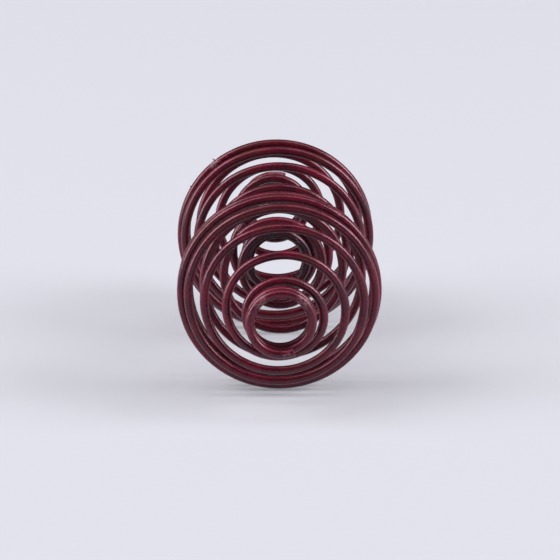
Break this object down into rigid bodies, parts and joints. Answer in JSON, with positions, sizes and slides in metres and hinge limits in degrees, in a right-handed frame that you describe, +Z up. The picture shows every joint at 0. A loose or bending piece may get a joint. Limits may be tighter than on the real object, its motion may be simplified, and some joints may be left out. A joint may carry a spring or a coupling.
{
  "type": "double barrel spring",
  "caption": "Barrel spring of lacquered round wire: it swells into a bulge on each side of a narrow waist and ends in small closed coils.",
  "frame": {"origin": "on the surface it lies on, under the middle of the coil's axis", "axes": "+Y along the coil's axis towards the far end, +Z up, away from the surface it lies on"},
  "size_m": [0.03, 0.0568, 0.03],
  "materials": {
    "lacquered_wire": "maroon lacquer on steel wire, satin to gloss, slightly uneven"
  },
  "bodies": {
    "root": {"spring_wire": "lacquered_wire"}
  },
  "joints": []
}
